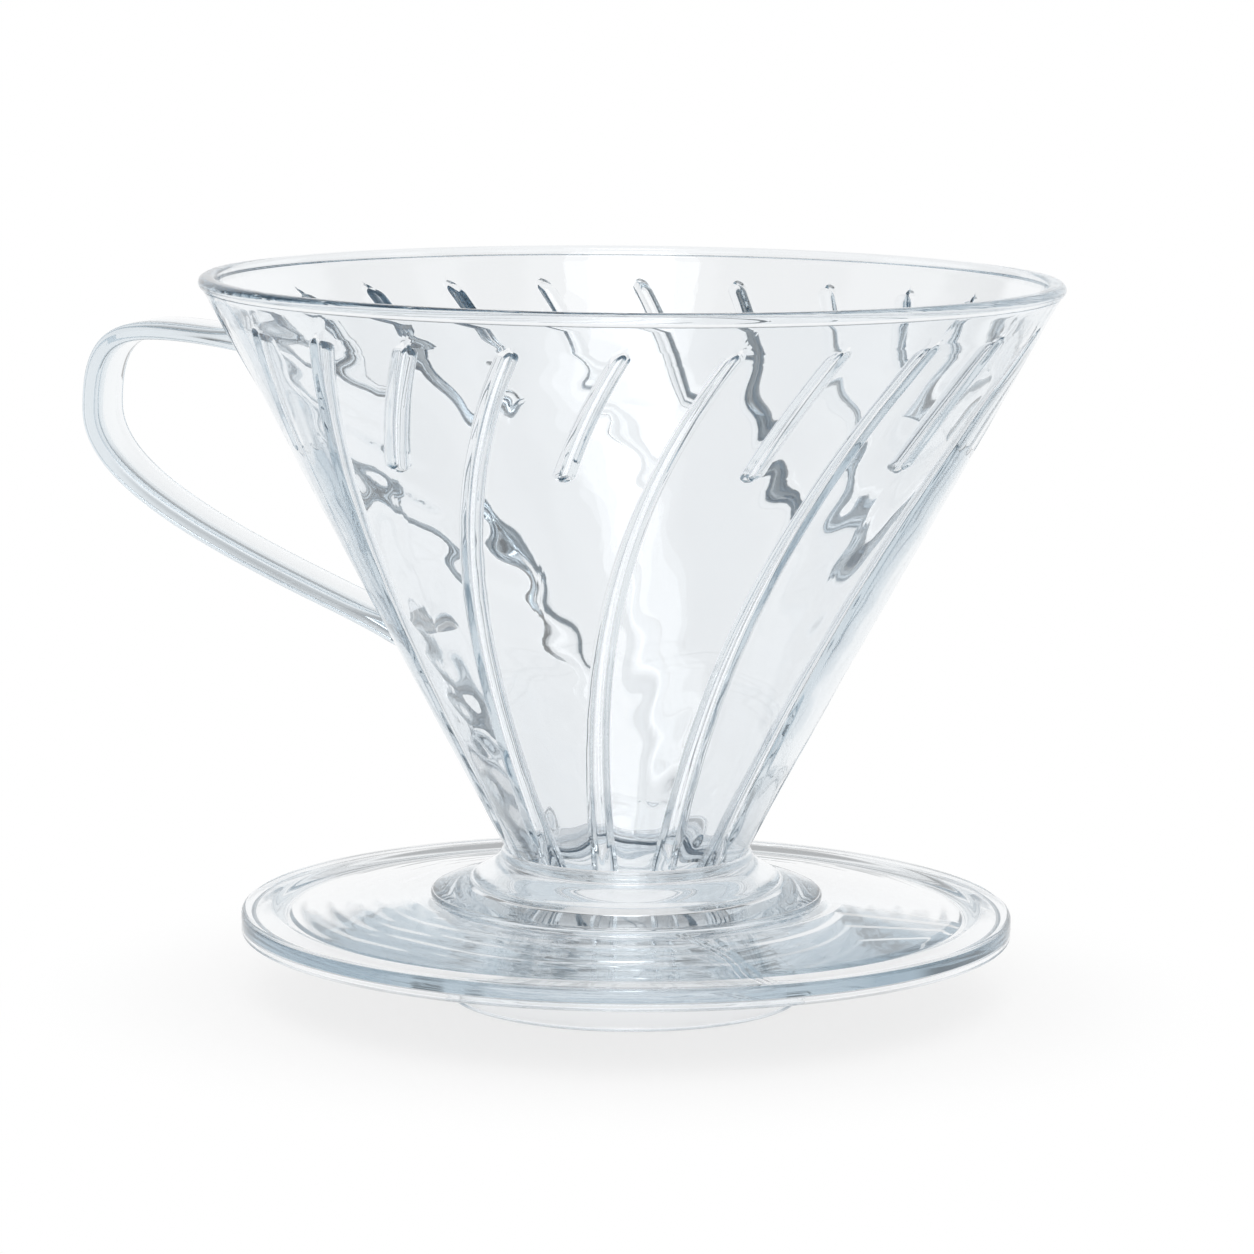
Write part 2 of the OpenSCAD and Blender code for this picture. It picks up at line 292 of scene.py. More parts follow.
def put_piece(name, grid, joined_rows, node):
    """A closed smooth mesh over rows of points; every row runs round and is joined to its start."""
    rows, columns = grid.shape[:2]
    index = np.arange(rows * columns).reshape(rows, columns)
    ahead = np.roll(index, -1, axis=1)
    if joined_rows:
        above, above_ahead = np.roll(index, -1, axis=0), np.roll(ahead, -1, axis=0)
    else:
        above, above_ahead = index[1:], ahead[1:]
        index, ahead = index[:-1], ahead[:-1]
    faces = np.stack([index, ahead, above_ahead, above], axis=-1).reshape(-1, 4)
    points = grid.reshape(-1, 3)
    p = points[faces]
    volume = np.einsum("ij,ij->i", p[:, 0], np.cross(p[:, 1] - p[:, 0], p[:, 2] - p[:, 0])).sum()
    volume += np.einsum("ij,ij->i", p[:, 0], np.cross(p[:, 2] - p[:, 0], p[:, 3] - p[:, 0])).sum()
    faces = faces.tolist()
    if not joined_rows:
        faces.append(list(range(columns))[::-1])
        faces.append(list(range((rows - 1) * columns, rows * columns)))
    if volume < 0:
        faces = [face[::-1] for face in faces]
    mesh = bpy.data.meshes.new(name)
    mesh.from_pydata(points.tolist(), [], faces)
    mesh.validate()
    mesh.shade_smooth()
    mesh.set_sharp_from_angle(angle=SHARP_EDGE)
    piece = bpy.data.objects.new(name, mesh)
    bpy.context.scene.collection.objects.link(piece)
    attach(piece, "root")
    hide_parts(node)
    return piece


def soften(corners, steps=5):
    """Half section with rounded corners: a corner is (radius, height, how far the rounding reaches)."""
    outline = []
    count = len(corners)
    for i, (x, z, reach) in enumerate(corners):
        here = np.array([x, z])
        if not reach:
            outline.append(here)
            continue
        before = np.array(corners[i - 1][:2]) - here
        after = np.array(corners[(i + 1) % count][:2]) - here
        start = here + before / np.linalg.norm(before) * reach
        end = here + after / np.linalg.norm(after) * reach
        for t in np.linspace(0, 1, steps):
            outline.append((1 - t) ** 2 * start + 2 * t * (1 - t) * here + t * t * end)
    return np.array(outline)


def turn_section(outline, angles):
    """Grid of a half section turned about the Z axis."""
    r, z = outline[:, 0][:, None], outline[:, 1][:, None]
    return np.stack([r * np.cos(angles), r * np.sin(angles), z + 0 * angles], axis=-1)


def smooth_step(x):
    """0 below 0, 1 above 1 and an even S between."""
    x = np.clip(x, 0, 1)
    return x * x * (3 - 2 * x)


# Clear plastic


def clear_plastic(name, look, stretch, wave_size, seed, density_share=1.0):
    """Clear moulded resin: flow waves and polishing marks in its surface, a tint that grows with depth."""
    material = bpy.data.materials.new(name)
    material.use_nodes = True
    nodes, links = material.node_tree.nodes, material.node_tree.links
    nodes.clear()
    output = nodes.new("ShaderNodeOutputMaterial")
    resin = nodes.new("ShaderNodeBsdfPrincipled")
    resin.inputs["IOR"].default_value = look.refraction
    resin.inputs["Transmission Weight"].default_value = 1.0
    place = nodes.new("ShaderNodeTexCoord")
    flow_map = nodes.new("ShaderNodeMapping")
    flow_map.inputs["Scale"].default_value = stretch
    flow_map.inputs["Location"].default_value = (seed, seed * 0.37, seed * 0.11)
    flow = nodes.new("ShaderNodeTexNoise")
    flow.inputs["Scale"].default_value = 1 / wave_size
    flow.inputs["Detail"].default_value = 1.5
    flow.inputs["Roughness"].default_value = 0.4
    relief = nodes.new("ShaderNodeBump")
    relief.inputs["Strength"].default_value = 1.0
    relief.inputs["Distance"].default_value = look.flow_relief
    links.new(place.outputs["Object"], flow_map.inputs["Vector"])
    links.new(flow_map.outputs["Vector"], flow.inputs["Vector"])
    links.new(flow.outputs["Fac"], relief.inputs["Height"])
    links.new(relief.outputs["Normal"], resin.inputs["Normal"])
    marks_per_metre = 900
    haze = nodes.new("ShaderNodeTexNoise")
    haze.inputs["Scale"].default_value = marks_per_metre
    haze.inputs["Detail"].default_value = 3
    polish = nodes.new("ShaderNodeMapRange")
    polish.inputs["From Min"].default_value = 0.35
    polish.inputs["From Max"].default_value = 0.75
    polish.inputs["To Min"].default_value = look.roughness * 0.4
    polish.inputs["To Max"].default_value = look.roughness * 2
    links.new(place.outputs["Object"], haze.inputs["Vector"])
    links.new(haze.outputs["Fac"], polish.inputs["Value"])
    links.new(polish.outputs["Result"], resin.inputs["Roughness"])
    tone = nodes.new("ShaderNodeMix")
    tone.data_type = "RGBA"
    tone.inputs["A"].default_value = (*look.colour, 1)
    tone.inputs["B"].default_value = (*(c * 0.985 for c in look.colour), 1)
    links.new(flow.outputs["Fac"], tone.inputs["Factor"])
    links.new(tone.outputs["Result"], resin.inputs["Base Color"])
    links.new(resin.outputs["BSDF"], output.inputs["Surface"])
    depth = nodes.new("ShaderNodeVolumeAbsorption")
    depth.inputs["Color"].default_value = (*look.depth_colour, 1)
    depth.inputs["Density"].default_value = look.depth_density * density_share
    links.new(depth.outputs["Volume"], output.inputs["Volume"])
    return material


# Cone


def cone_lines(cone):
    """The straight lines of the cone's half section, as functions of height."""
    top_z = cone.rim_height - cone.bead_height
    slope = (cone.rim_radius - cone.bead_proud - cone.neck_radius) / (top_z - cone.neck_height)
    run = cone.wall * math.sqrt(1 + slope * slope)

    def outer(z):
        return cone.neck_radius + slope * (z - cone.neck_height)

    def inner(z):
        return outer(z) - run

    return outer, inner, top_z


def rib_turn(cone, z):
    """Angle that the ribs have turned through at a height, counted from their top ends."""
    low = cone.seat_height + cone.lip_height
    top = cone.rim_height - cone.rib_top_drop
    climb = np.maximum(0, z - low) / (top - low)
    return cone.rib_twist * (climb ** cone.rib_curl - 1)


def cone_row(cone, r, z, relief, grooved):
    """One row of points round the wall at height z, with columns that follow the ribs."""
    low = cone.seat_height + cone.lip_height
    top = cone.rim_height - cone.rib_top_drop
    pitch = math.pi / cone.rib_count
    ribs = np.arange(cone.rib_count * 2)
    step = 0.0005
    lean = (rib_turn(cone, z + step) - rib_turn(cone, z - step)) / (2 * step) * r
    width = cone.rib_top_width + (cone.rib_width - cone.rib_top_width) * (top - z) / (top - low)
    half = width / 2 * math.sqrt(1 + float(lean) ** 2) / r
    half = min(half, pitch * 0.44)
    start = np.where(ribs % 2 == 0, low, top - cone.short_rib)
    cap = cone.rib_top_width * 0.5
    from_top = np.clip((top - z) / cap, 0, 1)
    from_low = np.clip((z - start) / (cap * 0.8), 0, 1)
    body = np.sqrt(1 - (1 - from_top) ** 2) * (1 - (1 - from_low) ** 3) ** 0.5
    if grooved:
        body = body * smooth_step((z - cone.neck_height - 0.0008) / 0.004)
    spread = half * np.maximum(body, 0.25)
    rib_columns, gap_columns = 13, 8
    across = -np.cos(np.linspace(0, math.pi, rib_columns))
    between = np.linspace(0, 1, gap_columns + 2)[1:-1]
    middle = ribs * pitch + rib_turn(cone, z)
    on_rib = middle[:, None] + spread[:, None] * across
    left = (middle + spread)[:, None]
    right = (middle + pitch - np.roll(spread, -1))[:, None]
    in_gap = left + (right - left) * between
    angles = np.concatenate([on_rib, in_gap], axis=1).ravel()
    if grooved:
        shape = np.cos(across * math.pi / 2) ** 2
    else:
        shape = (1 - np.abs(across) ** 3.4) ** 0.62
    dent = np.zeros((len(ribs), len(across) + len(between)))
    dent[:, : len(across)] = (body * relief)[:, None] * shape
    wave = np.sin(z / MM * 0.9 + 2.2 * np.sin(3 * angles) + 1.7 * np.sin(8 * angles + z / MM * 0.13))
    wave += 0.7 * np.sin(z / MM * 0.37 + 5 * angles + 2 * np.sin(2 * angles))
    wave *= cone.wander * (0.6 if grooved else -0.5) * (1 if relief else 0)
    reach = r - dent.ravel() + wave
    if relief and grooved:
        phase = (angles - rib_turn(cone, z)) / (2 * pitch)
        ends = smooth_step((top - z) / 0.012) * smooth_step((z - cone.neck_height) / 0.010)
        reach -= cone.scallop_depth * ends * (0.5 + 0.5 * np.cos(TURN * phase)) ** 2
    return np.stack([reach * np.cos(angles), reach * np.sin(angles), np.full_like(angles, z)], axis=-1)


def climb_rows(low, mid, top):
    """Heights of the wall's rows: close together where ribs start and end."""
    ends = 0.0016
    return np.unique(np.round(np.concatenate([
        np.linspace(low, low + ends, 8),
        np.linspace(low + ends, mid - ends, 62),
        np.linspace(mid - ends, mid + ends, 16),
        np.linspace(mid + ends, top - ends, 18),
        np.linspace(top - ends, top, 12),
    ]), 7))


def make_cone(cone, look):
    outer, inner, top_z = cone_lines(cone)
    low = cone.seat_height + cone.lip_height
    rib_top = cone.rim_height - cone.rib_top_drop
    short_low = rib_top - cone.short_rib
    bead = cone.bead_height / 2
    bead_z = cone.rim_height - bead
    rows = [cone_row(cone, outer(cone.seat_height), cone.seat_height, 0, True)]
    for z in climb_rows(cone.neck_height, short_low, rib_top):
        rows.append(cone_row(cone, outer(z), z, cone.groove_depth, True))
    for z in np.linspace(rib_top, top_z, 6)[1:]:
        rows.append(cone_row(cone, outer(z), z, 0, True))
    for a in np.radians(np.linspace(-75, 90, 12)):
        r = cone.rim_radius - bead + bead * math.cos(a)
        rows.append(cone_row(cone, r, bead_z + bead * math.sin(a), 0, True))
    inside = inner(bead_z) + bead * 0.8
    for a in np.radians(np.linspace(90, 180, 8)):
        r = inside + bead * 0.8 * math.cos(a)
        rows.append(cone_row(cone, r, bead_z + bead * 0.2 + bead * 0.8 * math.sin(a), 0, True))
    for z in np.linspace(bead_z, rib_top, 8)[1:-1]:
        rows.append(cone_row(cone, inner(z), z, 0, False))
    for z in climb_rows(low, short_low, rib_top)[::-1]:
        rows.append(cone_row(cone, inner(z), z, cone.rib_rise, False))
    for share in (0.9, 0.5, 0.1, 0.0):
        r = cone.outlet_radius + (inner(low) - cone.outlet_radius) * share
        rows.append(cone_row(cone, r, low - (0.0001 if share else 0.0003), 0, False))
    for share in (0.5, 0.0):
        z = cone.seat_height + cone.lip_height * share
        rows.append(cone_row(cone, cone.outlet_radius, z, 0, False))
    piece = put_piece("cone_wall", np.array(rows), True, "cone")
    piece.data.materials.append(
        clear_plastic("clear_resin_cone", look, (1.0, 1.0, 0.55), 0.009, 3.0))
    return piece


# Handle


def cubic(points, t):
    a, b, c, d = (np.array(p) for p in points)
    t = np.asarray(t)[..., None]
    return (1 - t) ** 3 * a + 3 * (1 - t) ** 2 * t * b + 3 * (1 - t) * t * t * c + t ** 3 * d


def strap_line(handle, cone):
    """The strap's middle line, from its top end to its low end, as a function of 0 to 1."""
    outer = cone_lines(cone)[0]
    bury = 0.002
    reach = handle.reach - handle.thickness / 2
    top = [
        (outer(handle.top_height) - bury, handle.top_height - 0.0006),
        (reach - 0.0076, handle.top_height + 0.0008),
        (reach, handle.outer_height + 0.014),
        (reach, handle.outer_height),
    ]
    low = [
        (reach, handle.outer_height),
        (reach, handle.outer_height - 0.010),
        (reach - 0.017, handle.outer_height - 0.018),
        (outer(handle.low_height) - bury, handle.low_height - 0.0016),
    ]

    def line(t):
        t = np.asarray(t, float)
        first = cubic(top, np.clip(t * 2, 0, 1))
        second = cubic(low, np.clip(t * 2 - 1, 0, 1))
        return np.where((t < 0.5)[..., None], first, second)

    return line


def make_handle(handle, cone, look):
    outer = cone_lines(cone)[0]
    line = strap_line(handle, cone)
    around = []
    for sx, sy, first in ((1, 1, 0), (-1, 1, 90), (-1, -1, 180), (1, -1, 270)):
        for a in np.radians(np.linspace(first, first + 90, 7)):
            around.append((sx, sy, math.cos(a), math.sin(a)))
    around = np.array(around)

    def strap_point(t, side):
        """Point of the strap's skin at each share t of its length, on line `side` of its section."""
        here = line(t)
        along = line(np.minimum(t + 0.001, 1)) - line(np.maximum(t - 0.001, 0))
        along /= np.linalg.norm(along, axis=-1)[..., None]
        ends = np.minimum(
            np.linalg.norm(here - line(0.0), axis=-1), np.linalg.norm(here - line(1.0), axis=-1))
        swell = handle.pad_extra * np.maximum(0, 1 - ends / (handle.pad_length + 0.002)) ** 2
        thick = handle.thickness + swell
        sx, sy, ca, sa = around[side]
        edge = handle.edge_radius
        sideways = sx * (handle.width / 2 - edge) + edge * ca
        outward = sy * (thick / 2 - edge) + edge * sa
        outward = outward - 0.00012 * (sideways / (handle.width / 2)) ** 2 * sy
        r = here[..., 0] - outward * along[..., 1]
        z = here[..., 1] + outward * along[..., 0]
        return np.stack([-r, np.full_like(r, sideways), z], axis=-1)

    def clear_of_cone(t, side):
        p = strap_point(t, side)
        return np.hypot(p[..., 0], p[..., 1]) - outer(p[..., 2]) - handle.gap

    rings = 120
    share = 0.5 - 0.5 * np.cos(np.linspace(0, math.pi, rings))
    grid = np.zeros((rings, len(around), 3))
    for side in range(len(around)):
        bounds = []
        for inside, outside in ((0.0, 0.25), (1.0, 0.75)):
            for _ in range(30):
                middle = (inside + outside) / 2
                if clear_of_cone(np.array(middle), side) < 0:
                    inside = middle
                else:
                    outside = middle
            bounds.append(outside)
        grid[:, side] = strap_point(bounds[0] + (bounds[1] - bounds[0]) * share, side)
    piece = put_piece("handle_strap", grid, False, "handle")
    piece.data.materials.append(
        clear_plastic("clear_resin_handle", look, (1.0, 0.6, 1.0), 0.012, 11.0))
    return piece


# Saucer, collar and ring


def saucer_floor(saucer, r):
    """Height of the saucer's floor at each radius."""
    edge = saucer.saucer_radius - saucer.band_width - 0.0016
    low = saucer.band_height - saucer.floor_drop
    return low + saucer.floor_rise * (edge - r) / (edge - saucer.foot_radius)


def make_saucer(saucer, look):
    start, span = saucer.label_start, saucer.label_span
    fine = np.linspace(-0.16, 0.05, 106)  # close columns round the seam and round the label field's ends
    angles = np.concatenate([
        np.linspace(-math.pi, math.pi, 288, endpoint=False), start + fine, start + span + fine])
    angles = np.unique(np.round(angles, 6))
    r1 = saucer.saucer_radius
    rim, band_in = saucer.band_height, r1 - saucer.band_width
    floor_out = band_in - 0.0016
    rebate = saucer.ring_radius + WELD_GAP
    under, skirt_in = saucer.under_height, r1 - saucer.skirt_wall
    outline = soften([
        (saucer.hole_radius, under + saucer.rebate_depth, 0.0001),
        (rebate, under + saucer.rebate_depth, 0),
        (rebate, under, 0.0001),
        (skirt_in, under, 0.0003),
        (skirt_in, saucer.skirt_height, 0.0004),
        (r1, saucer.skirt_height, 0.0004),
        (r1, rim, 0.0007),
        (band_in, rim, 0.0005),
        (floor_out, rim - saucer.floor_drop, 0.0006),
    ], 6)
    floor = np.linspace(floor_out - 0.0008, saucer.foot_radius, 56)
    floor_line = np.stack([floor, saucer_floor(saucer, floor)], axis=-1)
    seat = saucer_floor(saucer, saucer.foot_radius)
    land = soften([
        (saucer.foot_radius - 0.0004, seat, 0),
        (saucer.hole_radius, seat, 0.0001),
        (saucer.hole_radius, under + 0.001, 0),
    ])
    outline = np.concatenate([outline, floor_line, land])
    grid = turn_section(outline, angles)
    r = outline[:, 0][:, None]
    on_top = ((outline[:, 1] > rim - saucer.floor_drop - 0.0002) & (outline[:, 0] < r1 - 0.0006))[:, None]
    on_floor = on_top & (r < band_in - 0.0002) & (r > saucer.foot_radius + 0.0001)
    from_start = (angles - start) * r
    from_end = (start + span - angles) * r
    # Moulding ripples run round the floor, break into chevrons, and come and go in patches.
    chevron = 2.6 * np.abs(np.sin(4.5 * (angles - start)))
    ripple = np.sin(r / MM * 1.9 + chevron + 0.9 * np.sin(2 * angles))
    ripple += 0.5 * np.sin(r / MM * 3.1 + 1.7 * np.sin(5 * angles) + 0.6 * np.sin(11 * angles))
    patch = 0.35 + 0.65 * smooth_step(
        0.5 + 0.9 * np.sin(1.5 * (angles - start) + 2.2) * np.sin(r / MM * 0.23))
    calm = smooth_step((r - saucer.foot_radius) / 0.001) * smooth_step((floor_out - r) / 0.001)
    lift = saucer.ripple * ripple * patch * calm * on_floor
    label_inner, label_outer, label_edge = 0.0285, 0.0455, 0.0009
    near = np.minimum(np.minimum(from_start, from_end), np.minimum(r - label_inner, label_outer - r))
    pad = smooth_step(near / label_edge) * saucer.label_height
    lift = lift * (1 - smooth_step(near / label_edge)) + pad * on_floor
    # The seam is two fine grooves side by side that sway on their way from the collar to the rim.
    seam_width, seam_depth = 0.0002, 0.00014
    bend = 0.0009 * np.sin((r - 0.026) / 0.026 * TURN) - 0.0032 * smooth_step((0.041 - r) / 0.015)
    groove = sum(
        np.exp(-(((from_start - bend + aside) / seam_width) ** 2)) for aside in (0.0002, 0.0012))
    seam = groove * seam_depth * smooth_step((r - saucer.foot_radius - 0.0003) / 0.0006)
    lift -= seam * on_top
    grid[..., 2] += lift
    piece = put_piece("saucer", grid, True, "base_plate")
    piece.data.materials.append(
        clear_plastic("clear_resin_saucer", look, (1.0, 1.0, 1.0), 0.014, 23.0, look.base_share))
    return piece


def make_collar(saucer, cone, look):
    outer = cone_lines(cone)[0]
    seat = saucer_floor(saucer, saucer.foot_radius)
    mouth_z, neck_z = cone.seat_height, cone.neck_height
    # The flare's outline from the foot up to the neck: radius and height.
    flare = [
        (0.0264, 0.0146), (0.0253, 0.0151), (0.0229, 0.0159), (0.0213, 0.0165),
        (0.0203, 0.0171), (0.01805, 0.0185), (0.0172, 0.0194),
    ]
    knots = np.array(flare)
    steps = np.linspace(0, len(flare) - 1, 40)
    flare_r = np.interp(steps, range(len(flare)), knots[:, 0])
    flare_z = np.interp(steps, range(len(flare)), knots[:, 1])
    kernel = np.hanning(9) / np.hanning(9).sum()
    flare_r[4:-4] = np.convolve(flare_r, kernel, "valid")
    flare_z[4:-4] = np.convolve(flare_z, kernel, "valid")
    spigot = saucer.hole_radius - SPIGOT_GAP
    spigot_in = spigot - SPIGOT_WALL
    mouth = outer(mouth_z) + WELD_GAP
    corners = [
        (spigot_in, seat - SPIGOT_LENGTH, 0.0002),
        (spigot, seat - SPIGOT_LENGTH, 0.0002),
        (spigot, seat + 0.00001, 0),
        (saucer.foot_radius, seat + 0.00001, 0.0001),
        (saucer.foot_radius, 0.0145, 0.0003),
        *[(float(r), float(z), 0) for r, z in zip(flare_r, flare_z)],
        (0.01695, neck_z, 0.0003),
        (outer(neck_z) + WELD_GAP, neck_z, 0.00008),
        (mouth, mouth_z, 0.0003),
    ]
    hollow_foot = 0.0008
    hollow_z = seat + hollow_foot
    for share in np.linspace(0, 1, 24)[1:]:
        r = mouth + (spigot_in - mouth) * share
        corners.append((r, hollow_z + (mouth_z - hollow_z) * (1 - share) ** 1.2, 0))
    outline = soften(corners, 6)
    angles = np.linspace(0, TURN, ROUND_COLUMNS, endpoint=False)
    piece = put_piece("collar_flare", turn_section(outline, angles), True, "collar")
    piece.data.materials.append(
        clear_plastic("clear_resin_collar", look, (1.0, 1.0, 1.0), 0.010, 31.0, look.base_share))
    return piece


def make_ring(saucer, look):
    under, r1 = saucer.under_height, saucer.ring_radius
    r0 = r1 - saucer.ring_wall
    spigot = saucer.hole_radius - SPIGOT_GAP
    spigot_in = spigot - SPIGOT_WALL
    shoulder_z = under + saucer.rebate_depth
    outline = soften([
        (r0, 0, 0.0006),
        (r1, 0, 0.0006),
        (r1, under - 0.00002, 0.00015),
        (r1 - 0.0005, under - 0.00002, 0),
        (r1 - 0.0005, shoulder_z - 0.00001, 0.0001),
        (spigot, shoulder_z - 0.00001, 0),
        (spigot, under + SPIGOT_LENGTH, 0.0002),
        (spigot_in, under + SPIGOT_LENGTH, 0.0002),
        (spigot_in, under - 0.0016, 0.0003),
        (r0, under - 0.0016, 0.0004),
    ], 6)
    angles = np.linspace(0, TURN, ROUND_COLUMNS, endpoint=False)
    piece = put_piece("locating_ring_wall", turn_section(outline, angles), True, "locating_ring")
    piece.data.materials.append(
        clear_plastic("clear_resin_ring", look, (1.0, 1.0, 0.5), 0.010, 41.0, look.base_share))
    return piece


# Stage


def make_floor(stage):
    half = 4.0
    below = 0.00005
    shadow_ends = (0.055, 0.085)  # distances from the axis between which the floor fades to white
    mesh = bpy.data.meshes.new("floor")
    mesh.from_pydata(
        [(-half, -half, 0), (half, -half, 0), (half, half, 0), (-half, half, 0)], [], [(0, 1, 2, 3)])
    floor = bpy.data.objects.new("floor", mesh)
    bpy.context.scene.collection.objects.link(floor)
    floor.location.z = CAD_BOX[0].z - below
    material = bpy.data.materials.new("white_paper")
    material.use_nodes = True
    nodes, links = material.node_tree.nodes, material.node_tree.links
    paper = nodes["Principled BSDF"]
    paper.inputs["Roughness"].default_value = 0.9
    paper.inputs["Specular IOR Level"].default_value = 0.0
    grain = nodes.new("ShaderNodeTexNoise")
    grain.inputs["Scale"].default_value = 400
    tone = nodes.new("ShaderNodeMix")
    tone.data_type = "RGBA"
    tone.inputs["A"].default_value = (*stage.floor_colour, 1)
    tone.inputs["B"].default_value = (*(c * 0.995 for c in stage.floor_colour), 1)
    links.new(grain.outputs["Fac"], tone.inputs["Factor"])
    links.new(tone.outputs["Result"], paper.inputs["Base Color"])
    glow = nodes.new("ShaderNodeEmission")
    place = nodes.new("ShaderNodeTexCoord")
    away = nodes.new("ShaderNodeVectorMath")
    away.operation = "LENGTH"
    fade = nodes.new("ShaderNodeMapRange")
    fade.interpolation_type = "SMOOTHSTEP"
    fade.inputs["From Min"].default_value, fade.inputs["From Max"].default_value = shadow_ends
    fade.inputs["To Min"].default_value = stage.shadow_lift
    path = nodes.new("ShaderNodeLightPath")
    seen = nodes.new("ShaderNodeMath")
    seen.operation = "MAXIMUM"
    any_view = nodes.new("ShaderNodeMath")
    any_view.operation = "MAXIMUM"
    share = nodes.new("ShaderNodeMath")
    share.operation = "MULTIPLY"
    blend = nodes.new("ShaderNodeMixShader")
    links.new(place.outputs["Object"], away.inputs[0])
    links.new(away.outputs["Value"], fade.inputs["Value"])
    links.new(path.outputs["Is Camera Ray"], seen.inputs[0])
    links.new(path.outputs["Is Glossy Ray"], seen.inputs[1])
    links.new(seen.outputs[0], any_view.inputs[0])
    links.new(path.outputs["Is Transmission Ray"], any_view.inputs[1])
    links.new(any_view.outputs[0], share.inputs[0])
    links.new(fade.outputs["Result"], share.inputs[1])
    links.new(share.outputs[0], blend.inputs["Fac"])
    links.new(paper.outputs["BSDF"], blend.inputs[1])
    links.new(glow.outputs["Emission"], blend.inputs[2])
    links.new(blend.outputs["Shader"], nodes["Material Output"].inputs["Surface"])
    mesh.materials.append(material)


def make_world(stage):
    """White surround at the set's height, a greyer room above it, and dark cards that draw the edges."""
    world = bpy.data.worlds.new("studio")
    bpy.context.scene.world = world
    world.use_nodes = True
    nodes, links = world.node_tree.nodes, world.node_tree.links
    nodes.clear()
    output = nodes.new("ShaderNodeOutputWorld")
    back = nodes.new("ShaderNodeBackground")
    place = nodes.new("ShaderNodeTexCoord")
    split = nodes.new("ShaderNodeSeparateXYZ")
    links.new(place.outputs["Generated"], split.inputs["Vector"])
    heading = nodes.new("ShaderNodeMath")
    heading.operation = "ARCTAN2"
    links.new(split.outputs["Y"], heading.inputs[0])
    links.new(split.outputs["X"], heading.inputs[1])
    turn = nodes.new("ShaderNodeMapRange")
    turn.inputs["From Min"].default_value = -math.pi
    turn.inputs["From Max"].default_value = math.pi
    links.new(heading.outputs[0], turn.inputs["Value"])
    cards = nodes.new("ShaderNodeValToRGB")
    ramp = cards.color_ramp
    ramp.interpolation = "EASE"
    dark = (stage.flag_shade,) * 3 + (1,)
    white = (1, 1, 1, 1)
    soft = 6
    stops = []
    # Each card runs from one heading to another, in degrees from +X. None stands behind the object.
    for low, high in ((-150, -110), (-30, -14), (8, 34), (148, 169)):
        stops += [(low - soft, white), (low, dark), (high, dark), (high + soft, white)]
    ramp.elements[0].position, ramp.elements[0].color = 0.0, white
    ramp.elements[1].position, ramp.elements[1].color = 1.0, white
    for angle, colour in stops:
        element = ramp.elements.new(angle / 360 + 0.5)
        element.color = colour
    links.new(turn.outputs["Result"], cards.inputs["Fac"])
    room = nodes.new("ShaderNodeValToRGB")
    roof = room.color_ramp
    roof.interpolation = "EASE"
    roof.elements[0].position, roof.elements[0].color = 0.66, white
    roof.elements[1].position, roof.elements[1].color = 0.82, (stage.roof_shade,) * 3 + (1,)
    rise = nodes.new("ShaderNodeMapRange")
    rise.inputs["From Min"].default_value = -1
    links.new(split.outputs["Z"], rise.inputs["Value"])
    links.new(rise.outputs["Result"], room.inputs["Fac"])
    both = nodes.new("ShaderNodeMix")
    both.data_type = "RGBA"
    both.blend_type = "MULTIPLY"
    both.inputs["Factor"].default_value = 1.0
    links.new(cards.outputs["Color"], both.inputs["A"])
    links.new(room.outputs["Color"], both.inputs["B"])
    path = nodes.new("ShaderNodeLightPath")
    bent = nodes.new("ShaderNodeMath")
    bent.operation = "MAXIMUM"
    links.new(path.outputs["Is Glossy Ray"], bent.inputs[0])
    links.new(path.outputs["Is Transmission Ray"], bent.inputs[1])
    seen = nodes.new("ShaderNodeMix")
    seen.data_type = "RGBA"
    seen.inputs["A"].default_value = white
    links.new(bent.outputs[0], seen.inputs["Factor"])
    links.new(both.outputs["Result"], seen.inputs["B"])
    links.new(seen.outputs["Result"], back.inputs["Color"])
    back.inputs["Strength"].default_value = 1.0
    links.new(back.outputs["Background"], output.inputs["Surface"])


def make_lamp(name, place, target, size, power):
    data = bpy.data.lights.new(name, "AREA")
    data.shape = "RECTANGLE"
    data.size, data.size_y = size
    data.energy = power
    lamp = bpy.data.objects.new(name, data)
    lamp.location = place
    lamp.rotation_euler = (Vector(target) - Vector(place)).to_track_quat("-Z", "Y").to_euler()
    lamp.visible_camera = False
    bpy.context.scene.collection.objects.link(lamp)


def make_camera(stage):
    heading, pitch = stage.camera_heading, stage.camera_pitch
    ahead = Vector((
        -math.sin(heading) * math.cos(pitch), math.cos(heading) * math.cos(pitch), -math.sin(pitch)))
    right = Vector((math.cos(heading), math.sin(heading), 0))
    up = right.cross(ahead)
    roll = stage.camera_roll
    across = right * math.cos(roll) + up * math.sin(roll)
    upward = up * math.cos(roll) - right * math.sin(roll)
    data = bpy.data.cameras.new("camera")
    data.lens = stage.camera_lens
    data.sensor_width = 36
    data.clip_start, data.clip_end = 0.01, 50
    camera = bpy.data.objects.new("camera", data)
    turn = Matrix((across, upward, -ahead)).transposed().to_4x4()
    camera.matrix_world = Matrix.Translation(stage.camera_place) @ turn
    bpy.context.scene.collection.objects.link(camera)
    bpy.context.scene.camera = camera


# Operators


class DRIPPER_OT_cone(Operator):
    """Make the ribbed filter cone."""

    bl_idname = "dripper.make_cone"
    bl_label = "Cone"

    def execute(self, context):
        make_cone(context.scene.dripper_cone, context.scene.dripper_plastic)
        return {"FINISHED"}


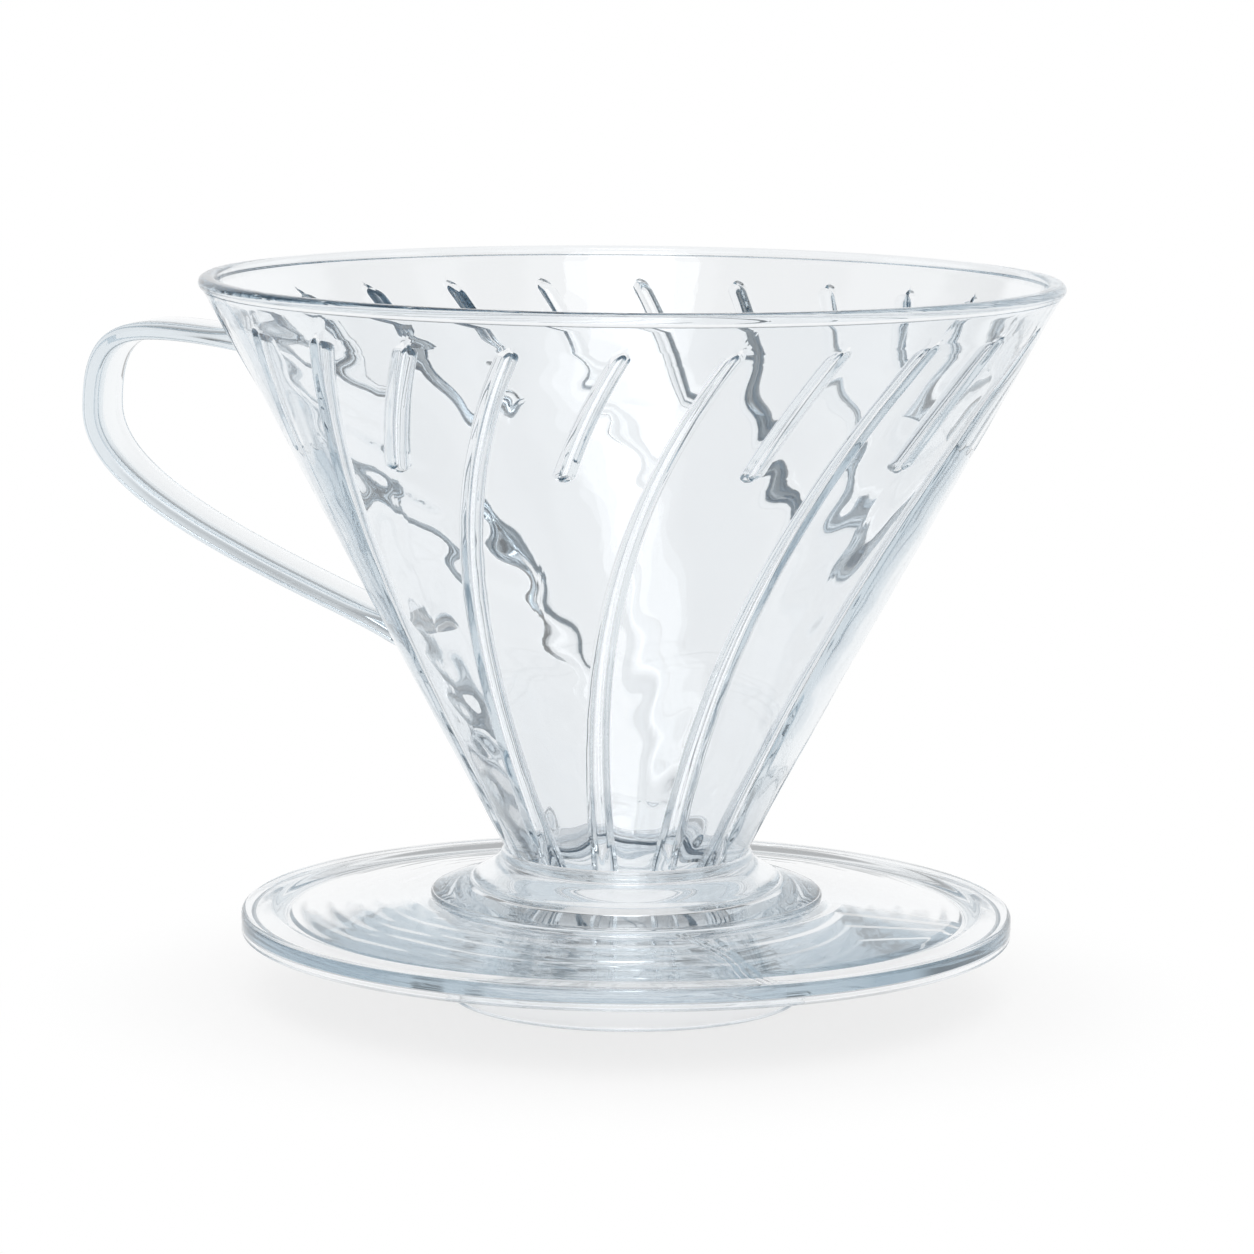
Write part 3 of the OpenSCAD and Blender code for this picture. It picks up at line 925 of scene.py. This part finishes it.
class DRIPPER_OT_handle(Operator):
    """Make the strap handle."""

    bl_idname = "dripper.make_handle"
    bl_label = "Handle"

    def execute(self, context):
        scene = context.scene
        make_handle(scene.dripper_handle, scene.dripper_cone, scene.dripper_plastic)
        return {"FINISHED"}


class DRIPPER_OT_saucer(Operator):
    """Make the saucer, the collar on it and the locating ring under it."""

    bl_idname = "dripper.make_saucer"
    bl_label = "Saucer, collar and ring"

    def execute(self, context):
        scene = context.scene
        make_saucer(scene.dripper_saucer, scene.dripper_plastic)
        make_collar(scene.dripper_saucer, scene.dripper_cone, scene.dripper_plastic)
        make_ring(scene.dripper_saucer, scene.dripper_plastic)
        return {"FINISHED"}


class DRIPPER_OT_stage(Operator):
    """Make the floor, the light and the camera."""

    bl_idname = "dripper.make_stage"
    bl_label = "Stage"

    def execute(self, context):
        stage = context.scene.dripper_stage
        make_floor(stage)
        make_world(stage)
        make_lamp("front_softbox", (0.35, -1.2, 1.25), (0, 0, 0.05), (0.62, 1.0), 2.9)
        make_lamp("front_softbox_spill", (0.36, -1.24, 1.29), (0, 0, 0.05), (1.0, 1.1), 4.0)
        make_camera(stage)
        scene = context.scene
        scene.view_settings.view_transform = "Standard"
        scene.cycles.max_bounces = LIGHT_BOUNCES
        scene.cycles.transmission_bounces = LIGHT_BOUNCES
        scene.cycles.glossy_bounces = LIGHT_BOUNCES
        return {"FINISHED"}


class DRIPPER_PT_panel(Panel):
    """Sizes, looks and makers of the dripper."""

    bl_idname = "DRIPPER_PT_panel"
    bl_label = "Pour Over Dripper"
    bl_space_type = "VIEW_3D"
    bl_region_type = "UI"
    bl_category = "Dripper"

    def draw(self, context):
        for name, maker in (
            ("dripper_cone", "dripper.make_cone"),
            ("dripper_handle", "dripper.make_handle"),
            ("dripper_saucer", "dripper.make_saucer"),
            ("dripper_plastic", None),
            ("dripper_stage", "dripper.make_stage"),
        ):
            settings = getattr(context.scene, name)
            box = self.layout.box()
            for key in settings.__annotations__:
                box.prop(settings, key)
            if maker:
                box.operator(maker)


SETTINGS = {
    "dripper_cone": DripperConeSettings,
    "dripper_handle": DripperHandleSettings,
    "dripper_saucer": DripperSaucerSettings,
    "dripper_plastic": DripperPlasticSettings,
    "dripper_stage": DripperStageSettings,
}
TOOLS = (DRIPPER_OT_cone, DRIPPER_OT_handle, DRIPPER_OT_saucer, DRIPPER_OT_stage, DRIPPER_PT_panel)


def register():
    for name, settings in SETTINGS.items():
        bpy.utils.register_class(settings)
        setattr(bpy.types.Scene, name, PointerProperty(type=settings))
    for tool in TOOLS:
        bpy.utils.register_class(tool)


def unregister():
    for tool in reversed(TOOLS):
        bpy.utils.unregister_class(tool)
    for name, settings in reversed(SETTINGS.items()):
        delattr(bpy.types.Scene, name)
        bpy.utils.unregister_class(settings)


def main():
    register()
    bpy.ops.dripper.make_cone()
    bpy.ops.dripper.make_handle()
    bpy.ops.dripper.make_saucer()
    bpy.ops.dripper.make_stage()


if __name__ == "__main__":
    main()
